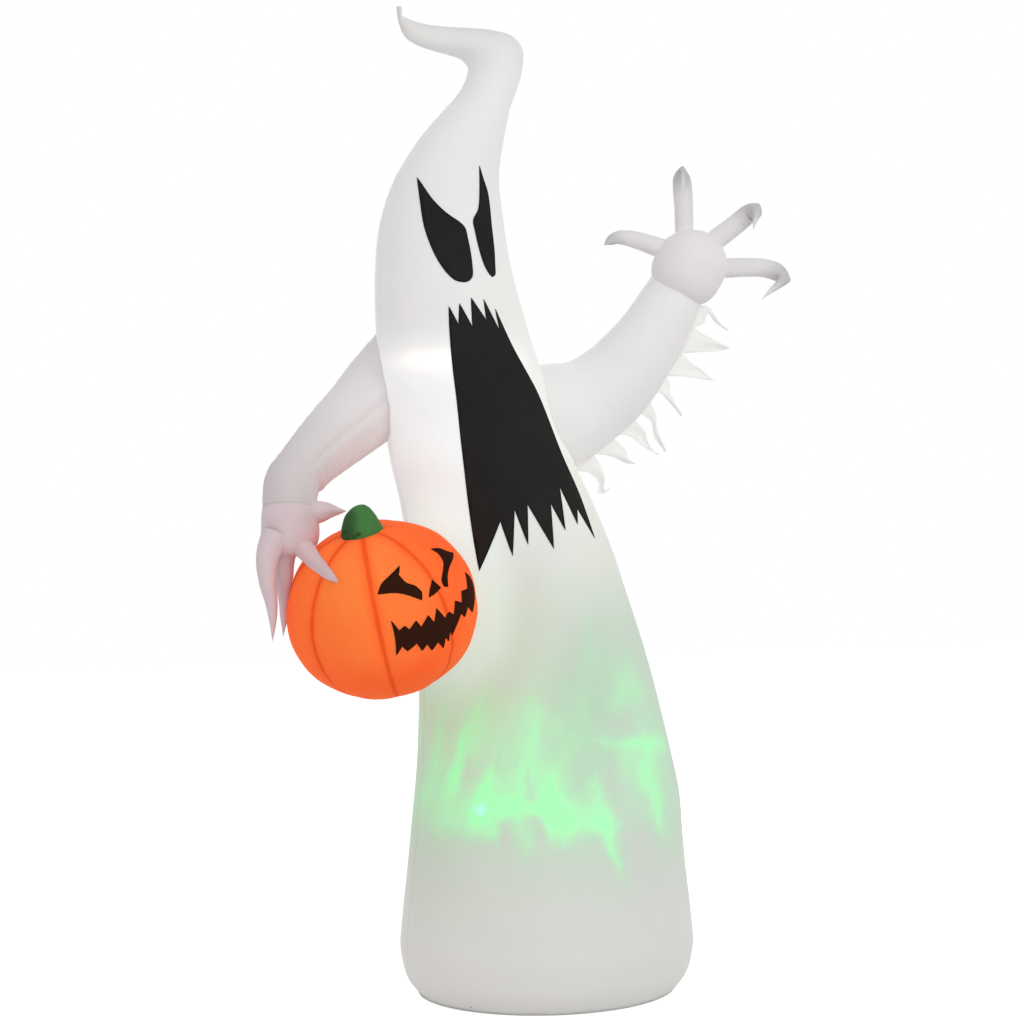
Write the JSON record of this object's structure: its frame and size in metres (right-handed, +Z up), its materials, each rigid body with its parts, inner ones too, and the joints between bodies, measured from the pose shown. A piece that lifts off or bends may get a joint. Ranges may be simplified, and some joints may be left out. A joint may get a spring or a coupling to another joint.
{
  "type": "inflatable ghost",
  "caption": "Tall blower-filled cloth ghost with a curled tail top, a screaming face, one raised clawed hand and one holding a pumpkin.",
  "frame": {"origin": "centre of the flat base panel's underside", "axes": "+Z up, the face looks along -Y, the raised left arm is on the +X side"},
  "size_m": [1.5415, 0.8952, 2.7043],
  "materials": {
    "white_cloth": "thin white woven polyester, lit from inside",
    "pink_lit_cloth": "thin white woven polyester in the pumpkin's warm light",
    "black_cloth": "matt black woven polyester",
    "orange_cloth": "thin orange woven polyester, lit from inside",
    "green_cloth": "dark green woven polyester",
    "webbing": "woven polyester tape",
    "bag_cloth": "dark heavy cloth",
    "lamp_plastic": "frosted clear plastic",
    "clear_plastic": "clear faceted plastic",
    "black_plastic": "moulded black plastic",
    "fan_plastic": "moulded pale plastic",
    "board": "white solder mask",
    "motor_metal": "plated steel can",
    "bare_metal": "plated steel"
  },
  "bodies": {
    "ghost": {"base_panel": "white_cloth", "body_front_panel": "white_cloth", "body_back_panel": "white_cloth", "mouth_patch": "black_cloth", "right_eye_patch": "black_cloth", "left_eye_patch": "black_cloth", "left_arm_sleeve": "white_cloth", "left_palm": "white_cloth", "left_thumb": "white_cloth", "left_index_finger": "white_cloth", "left_middle_finger": "white_cloth", "left_little_finger": "white_cloth", "left_sleeve_fringe": "white_cloth", "right_arm_sleeve": "white_cloth", "right_palm": "pink_lit_cloth", "right_thumb": "pink_lit_cloth", "right_index_finger": "pink_lit_cloth", "right_middle_finger": "pink_lit_cloth", "right_little_finger": "pink_lit_cloth", "pumpkin_shell": "orange_cloth", "pumpkin_stem": "green_cloth", "pumpkin_right_eye": "black_cloth", "pumpkin_left_eye": "black_cloth", "pumpkin_nose": "black_cloth", "pumpkin_mouth": "black_cloth", "pumpkin_lamp": "lamp_plastic", "light_tape": "webbing", "waist_lamp": "lamp_plastic", "chest_lamp": "lamp_plastic", "head_lamp": "lamp_plastic", "blower_boot": "white_cloth", "blower_clamp": "bare_metal", "blower_housing": "black_plastic", "intake_grille": "black_plastic", "outlet_guard": "black_plastic", "blower_motor": "motor_metal", "grille_screw_1": "bare_metal", "grille_screw_2": "bare_metal", "grille_screw_3": "bare_metal", "grille_screw_4": "bare_metal", "cable_gland": "black_plastic", "projector_housing": "black_plastic", "projector_cradle": "fan_plastic", "projector_led_board": "board", "projector_motor": "motor_metal", "zip_tape": "webbing", "stake_loop_left": "webbing", "stake_loop_right": "webbing", "tether_loop_left": "webbing", "tether_loop_right": "webbing", "ballast_bag_left": "bag_cloth", "ballast_bag_right": "bag_cloth"},
    "impeller": {"impeller": "fan_plastic", "impeller_shaft": "bare_metal"},
    "projector_dome": {"projector_dome": "clear_plastic", "projector_spindle": "bare_metal"},
    "zip_slider": {"zip_slider": "bare_metal"},
    "zip_pull": {"zip_pull": "bare_metal"}
  },
  "joints": [
    {"name": "impeller_spin", "type": "hinge", "parent": "ghost", "child": "impeller", "pos_m": [0, 0.35335, 0.14], "axis": [0, 1, 0], "continuous": true},
    {"name": "dome_spin", "type": "hinge", "parent": "ghost", "child": "projector_dome", "pos_m": [0.0504, 0.0994, 0.08], "axis": [0, -0.5, 0.866], "continuous": true},
    {"name": "zip_slide", "type": "slide", "parent": "ghost", "child": "zip_slider", "axis": [-0.0182, -0.093, 0.9955], "range_m": [0, 0.266]},
    {"name": "zip_pull_swing", "type": "hinge", "parent": "zip_slider", "child": "zip_pull", "pos_m": [-0.00031, 0.34541, 0.34777], "axis": [0.9998, -0.0017, 0.0181], "range_deg": [0, 150]}
  ]
}
